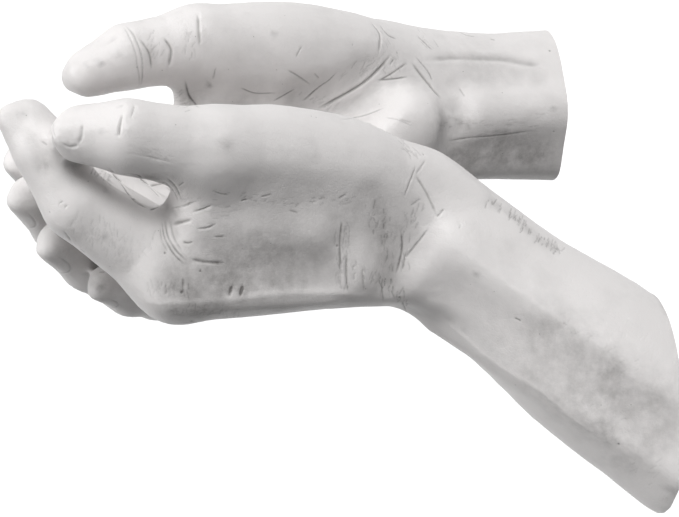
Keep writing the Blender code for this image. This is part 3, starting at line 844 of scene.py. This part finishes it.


# Stains of the grey wash and patches of painted shade, in pixels of the photograph: place, radius,
# strength. The small spots are stains; the broad patches on the near hand's lower side, at the wrist, under
# the forearms and in the gap between the hands are painted shade

stainsAndShade = [
    (228, 145, 7, 0.55), (313, 141, 5, 0.3), (317, 155, 6, 0.3), (126, 266, 11, 0.45),
    (105, 237, 3, 0.7), (21, 115, 5, 0.5), (40, 165, 7, 0.4), (33, 137, 7, 0.35), (47, 165, 3, 0.6),
    (120, 106, 3, 0.6), (101, 131, 3, 0.6), (110, 181, 2, 0.9), (110, 185, 2, 0.9), (106, 190, 2, 0.8),
    (134, 199, 2, 0.8), (169, 189, 2, 1.0), (101, 287, 3, 1.0), (477, 274, 3, 0.8), (612, 367, 12, 0.4),
    (609, 437, 12, 0.4), (671, 490, 7, 0.6), (97, 60, 2, 0.9), (102, 63, 2, 0.9), (117, 55, 2, 0.9),
    (85, 65, 2, 0.9), (113, 39, 2, 0.8), (275, 34, 4, 0.7), (209, 85, 3, 0.9), (553, 109, 2, 1.0),
    (492, 156, 2, 0.9), (518, 158, 2, 0.9), (459, 122, 4, 0.6), (468, 126, 3, 0.6),
    (206, 312, 26, 0.35), (496, 206, 8, 0.35), (512, 216, 8, 0.35), (528, 229, 8, 0.40),
    (542, 240, 8, 0.40), (554, 248, 7, 0.40), (151, 178, 9, 1.0), (242, 291, 5, 0.5),
    (215, 250, 30, 0.25), (260, 255, 36, 0.46), (310, 255, 34, 0.34), (285, 292, 26, 0.30),
    (250, 205, 34, 0.15), (180, 282, 24, 0.50), (230, 285, 30, 0.48), (350, 215, 24, 0.28),
    (378, 205, 16, 0.42), (388, 230, 16, 0.50), (385, 258, 16, 0.40), (372, 285, 18, 0.30),
    (392, 285, 14, 0.30), (310, 195, 22, 0.18), (105, 185, 16, 0.25), (575, 350, 34, 0.40),
    (610, 395, 34, 0.42), (540, 330, 26, 0.34), (480, 300, 26, 0.12), (650, 440, 24, 0.45),
    (662, 398, 22, 0.40), (500, 352, 20, 0.25), (530, 378, 20, 0.30), (560, 402, 22, 0.35),
    (590, 430, 22, 0.35), (620, 462, 20, 0.30), (100, 280, 22, 0.35), (30, 190, 18, 0.30),
    (60, 250, 18, 0.30), (480, 60, 36, 0.22), (440, 125, 20, 0.40), (500, 150, 34, 0.75),
    (460, 160, 24, 0.65), (540, 155, 24, 0.65), (190, 98, 14, 0.40), (300, 92, 34, 0.15),
    (250, 96, 26, 0.15), (150, 55, 10, 0.25), (205, 40, 8, 0.25),
]


def pointsOf(mesh):
    points = np.empty(len(mesh.vertices) * 3, np.float32)
    mesh.vertices.foreach_get("co", points)
    return points.reshape(-1, 3).astype(float)


def markStainsAndShade(mesh):
    points = pointsOf(mesh)
    total = np.zeros(len(points))
    for x, y, radius, strength in stainsAndShade:
        hit = tree.ray_cast(eye, sightLine(x, y).normalized())[0]
        if hit is not None:
            away = ((points - np.array(hit)) ** 2).sum(axis=1)
            total += strength * np.exp(-away / (radius / photo["zoom"]) ** 2)
    storeOnPoints(mesh, "stainAndShade", np.minimum(total, 1))


markStainsAndShade(hands.data)
print("stains marked")


# The last mesh: its folds marked, cut at the wall again, and thinned to what the export keeps

def foldDepths(mesh):   # how far each point lies below its neighbours, in mm
    count, points = len(mesh.vertices), pointsOf(mesh)
    normals = np.empty(count * 3, np.float32)
    mesh.vertices.foreach_get("normal", normals)
    ends = np.empty(len(mesh.edges) * 2, np.int32)
    mesh.edges.foreach_get("vertices", ends)
    ends = ends.reshape(-1, 2)
    both = np.concatenate([ends, ends[:, ::-1]])
    number = np.bincount(both[:, 0], minlength=count)

    def average(values):
        sums = [np.bincount(both[:, 0], values[both[:, 1], k], count) for k in range(3)]
        return np.stack([total / number for total in sums], axis=1)

    smooth = points
    for _ in range(skin["foldReach"]):
        smooth = average(smooth)
    return ((smooth - points) * normals.reshape(-1, 3)).sum(axis=1) / mm


def cutAtWall(piece):
    work = bmesh.new()
    work.from_mesh(piece.data)
    everything = work.verts[:] + work.edges[:] + work.faces[:]
    wall = {"plane_co": (0, 0, 0), "plane_no": (0, 1, 0)}
    cut = bmesh.ops.bisect_plane(work, geom=everything, clear_outer=True, **wall)
    rim = [e for e in cut["geom_cut"] if isinstance(e, bmesh.types.BMEdge)]
    ends = bmesh.ops.holes_fill(work, edges=rim, sides=0)["faces"]
    for face in ends:
        face.material_index = 1
    bmesh.ops.recalc_face_normals(work, faces=work.faces[:])
    bmesh.ops.triangulate(work, faces=work.faces[:])
    work.to_mesh(piece.data)
    work.free()


hands.data.materials.clear()
hands.data.materials.append(castFinish)
hands.data.materials.append(cutFinish)
storeOnPoints(hands.data, "fold", np.clip(foldDepths(hands.data) / skin["foldDepth"], 0, 1))
cutAtWall(hands)
if len(hands.data.polygons) > skin["mostTriangles"]:
    carved = np.empty(len(hands.data.vertices), np.float32)
    hands.data.attributes["wash"].data.foreach_get("value", carved)
    carved = np.abs(carved) > skin["carvedWash"]
    print("carved share", round(float(carved.mean()), 3))
    group = hands.vertex_groups.new(name="thin")
    group.add(np.flatnonzero(~carved).tolist(), 1.0, "REPLACE")
    group.add(np.flatnonzero(carved).tolist(), skin["carvedThinning"], "REPLACE")
    fewer = hands.modifiers.new("fewer", "DECIMATE")
    fewer.ratio = skin["mostTriangles"] / len(hands.data.polygons)
    fewer.vertex_group = group.name
    fewer.vertex_group_factor = 1.0
    fewer.use_collapse_triangulate = True
    bake(hands)
    hands.vertex_groups.clear()
hands.data.shade_smooth()
hands.data.set_sharp_from_angle(angle=math.radians(skin["rimAngle"]))
bpy.data.objects.remove(guide)
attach(hands, "root")
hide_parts("cupped_hands")
print("hands finished:", len(hands.data.polygons), "triangles")


# Stage: a pale floor under the hands, and soft lamps

stage = {
    "floorDrop": 0.30, "floorSize": 80.0, "floorColour": (0.15, 0.15, 0.15, 1), "floorRoughness": 0.9,
    "glow": 0.95,   # added where the camera sees the floor itself
    "world": (1.0, 1.0, 1.0, 1), "worldLight": 0.26,
    "lamps": {   # each shines from a place in the camera's own directions: right, up and towards it
        "top": {"energy": 0.50, "softness": 25.0, "from": (0.0, 1.0, 0.0)},
        "left": {"energy": 2.25, "softness": 25.0, "from": (-1.0, 0.0, 0.3)},
        "front": {"energy": 1.85, "softness": 25.0, "from": (-0.1, 0.62, 0.78)},
        "low": {"energy": 0.8, "softness": 40.0, "from": (-0.85, -0.4, 0.35)},
    },
}


def seenStraight(nodes):   # 1 where the camera sees a place itself, or its reflection
    path = put(nodes, "ShaderNodeLightPath", {})
    seen = calc(nodes, "ADD", path["Is Camera Ray"], path["Is Glossy Ray"])
    return calc(nodes, "ADD", seen, path["Is Transmission Ray"], clamp=True)


def makeFloor():
    half, low = stage["floorSize"] / 2, -stage["floorDrop"]
    mesh = bpy.data.meshes.new("floor")
    corners = [(-half, -half, low), (half, -half, low), (half, half, low), (-half, half, low)]
    mesh.from_pydata(corners, [], [(0, 1, 2, 3)])
    floor = bpy.data.objects.new("floor", mesh)
    scene.collection.objects.link(floor)
    made, nodes, surface = newFinish("floorPaint")
    strength = calc(nodes, "MULTIPLY", seenStraight(nodes), stage["glow"])
    glow = put(nodes, "ShaderNodeEmission", {"Color": (1, 1, 1, 1), "Strength": strength})[0]
    feeds = {"Base Color": stage["floorColour"], "Roughness": stage["floorRoughness"]}
    paint = put(nodes, "ShaderNodeBsdfPrincipled", feeds)[0]
    nodes.links.new(put(nodes, "ShaderNodeAddShader", {0: paint, 1: glow})[0], surface)
    mesh.materials.append(made)


def makeWorld():
    world = bpy.data.worlds.new("studio")
    scene.world = world
    world.use_nodes = True
    nodes = world.node_tree
    strength = put(nodes, "ShaderNodeMix", {0: seenStraight(nodes), 2: stage["worldLight"], 3: 1.0})[0]
    background = nodes.nodes["Background"]
    background.inputs["Color"].default_value = stage["world"]
    nodes.links.new(strength, background.inputs["Strength"])


def makeSun(name, look):
    lamp = bpy.data.lights.new(name, "SUN")
    lamp.energy = look["energy"]
    lamp.angle = math.radians(look["softness"])
    made = bpy.data.objects.new(name, lamp)
    scene.collection.objects.link(made)
    x, y, z = look["from"]
    made.rotation_euler = (x * rightward + y * upward - z * forward).to_track_quat("Z", "Y").to_euler()


makeFloor()
makeWorld()
for name, look in stage["lamps"].items():
    makeSun(name, look)
scene.view_settings.view_transform = "Standard"
